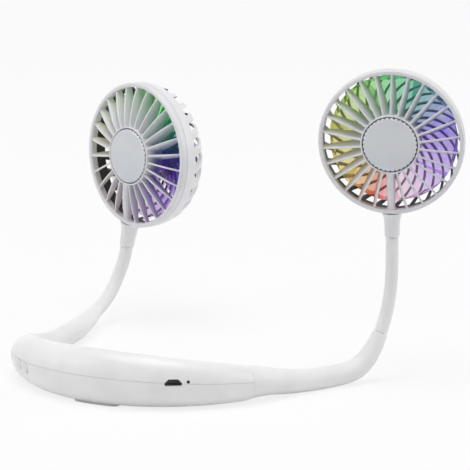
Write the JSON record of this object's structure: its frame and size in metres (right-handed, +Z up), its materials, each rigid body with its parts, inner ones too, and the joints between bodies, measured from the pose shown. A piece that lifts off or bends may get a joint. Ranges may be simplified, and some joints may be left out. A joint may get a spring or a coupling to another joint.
{
  "type": "electric neck fan",
  "caption": "Wearable neck fan: a C-shaped battery band with bendable arms that each carry a round, lamp-lit fan head on a swivel.",
  "frame": {"origin": "on the axis of the neck opening, at the band's middle height", "axes": "+X to the wearer's right, +Y forward along the arms, +Z up"},
  "size_m": [0.273, 0.2173, 0.1809],
  "materials": {
    "white_shell": "satin moulded white",
    "white_sleeve": "soft matt white silicone",
    "white_grille": "satin moulded white",
    "silver_cap": "silver-grey satin",
    "clear_blade": "milky see-through",
    "steel": "plain",
    "motor_can": "plated",
    "cell_foil": "pouch foil",
    "circuit_board": "solder mask",
    "lamp_lens": "lit lens",
    "socket_steel": "plated dark",
    "lamp_window": "smoked window",
    "black_plastic": "plain",
    "grey_foot": "matt",
    "white_key": "satin",
    "wire_sheath": "plain"
  },
  "bodies": {
    "band": {"band_upper_shell": "white_shell", "band_lower_shell": "white_shell", "foot_pad": "grey_foot", "battery_cell_left": "cell_foil", "battery_cell_right": "cell_foil", "main_board": "circuit_board", "usb_socket": "socket_steel", "charge_lamp": "lamp_window", "switch_board": "circuit_board", "tact_switches": "black_plastic", "band_screws": "steel", "wiring_loom": "wire_sheath", "left_arm_ferrule": "steel", "left_sleeve_base": "white_sleeve", "left_core_base": "steel", "right_arm_ferrule": "steel", "right_sleeve_base": "white_sleeve", "right_core_base": "steel"},
    "left_lower_arm": {"left_sleeve_lower": "white_sleeve", "left_core_lower": "steel"},
    "left_mid_arm": {"left_sleeve_knee": "white_sleeve", "left_tube_lower": "white_sleeve", "left_core_knee": "steel"},
    "left_upper_arm": {"left_tube_upper": "white_sleeve", "left_core_upper": "steel", "left_swivel_pin": "steel"},
    "left_head": {"left_rear_shell": "white_shell", "left_front_grille": "white_grille", "left_hub_disc": "silver_cap", "left_motor": "motor_can", "left_motor_screws": "steel", "left_led_board": "circuit_board", "left_leds": "lamp_lens"},
    "left_rotor": {"left_impeller": "clear_blade", "left_motor_shaft": "steel"},
    "right_lower_arm": {"right_sleeve_lower": "white_sleeve", "right_core_lower": "steel"},
    "right_mid_arm": {"right_sleeve_knee": "white_sleeve", "right_tube_lower": "white_sleeve", "right_core_knee": "steel"},
    "right_upper_arm": {"right_tube_upper": "white_sleeve", "right_core_upper": "steel", "right_swivel_pin": "steel"},
    "right_head": {"right_rear_shell": "white_shell", "right_front_grille": "white_grille", "right_hub_disc": "silver_cap", "right_motor": "motor_can", "right_motor_screws": "steel", "right_led_board": "circuit_board", "right_leds": "lamp_lens"},
    "right_rotor": {"right_impeller": "clear_blade", "right_motor_shaft": "steel"},
    "fan_key": {"fan_button": "white_key"},
    "light_key": {"light_button": "white_key"}
  },
  "joints": [
    {"name": "left_arm_spread", "type": "hinge", "parent": "band", "child": "left_lower_arm", "pos_m": [-0.07538, -0.01893, -0.0044], "axis": [0, 0, 1], "range_deg": [-12, 35]},
    {"name": "left_arm_bend", "type": "hinge", "parent": "left_lower_arm", "child": "left_mid_arm", "pos_m": [-0.08302, 0.0354, -0.00721], "axis": [0.9871, 0.16, 0], "range_deg": [-12, 35]},
    {"name": "left_arm_tilt", "type": "hinge", "parent": "left_mid_arm", "child": "left_upper_arm", "pos_m": [-0.0913, 0.09378, 0.00581], "axis": [-0.9603, 0.279, 0], "range_deg": [-40, 40]},
    {"name": "left_head_turn", "type": "hinge", "parent": "left_upper_arm", "child": "left_head", "pos_m": [-0.0872, 0.1018, 0.0291], "axis": [0.1866, 0.0078, 0.9824], "range_deg": [-90, 90]},
    {"name": "left_fan_spin", "type": "hinge", "parent": "left_head", "child": "left_rotor", "pos_m": [-0.07823, 0.098, 0.08443], "axis": [-0.3281, -0.9421, 0.0698], "continuous": true},
    {"name": "right_arm_spread", "type": "hinge", "parent": "band", "child": "right_lower_arm", "pos_m": [0.07764, -0.01973, -0.00443], "axis": [0, 0, -1], "range_deg": [-12, 35]},
    {"name": "right_arm_bend", "type": "hinge", "parent": "right_lower_arm", "child": "right_mid_arm", "pos_m": [0.10078, 0.0299, -0.00749], "axis": [0.9063, -0.4226, 0], "range_deg": [-35, 35]},
    {"name": "right_arm_tilt", "type": "hinge", "parent": "right_mid_arm", "child": "right_upper_arm", "pos_m": [0.11416, 0.05859, 0.04047], "axis": [-0.9239, -0.3827, 0], "range_deg": [-40, 40]},
    {"name": "right_head_turn", "type": "hinge", "parent": "right_upper_arm", "child": "right_head", "pos_m": [0.11443, 0.05918, 0.0684], "axis": [0, 0, 1], "range_deg": [-90, 90]},
    {"name": "right_fan_spin", "type": "hinge", "parent": "right_head", "child": "right_rotor", "pos_m": [0.11616, 0.05503, 0.1244], "axis": [0.3827, -0.9239, 0], "continuous": true},
    {"name": "fan_button_press", "type": "slide", "parent": "band", "child": "fan_key", "axis": [0.6018, 0.7986, 0], "range_m": [0, 0.0005], "stiffness_N_per_m": 1500, "springref_m": -0.0005},
    {"name": "light_button_press", "type": "slide", "parent": "band", "child": "light_key", "axis": [0.6018, 0.7986, 0], "range_m": [0, 0.0005], "stiffness_N_per_m": 1500, "springref_m": -0.0005}
  ]
}
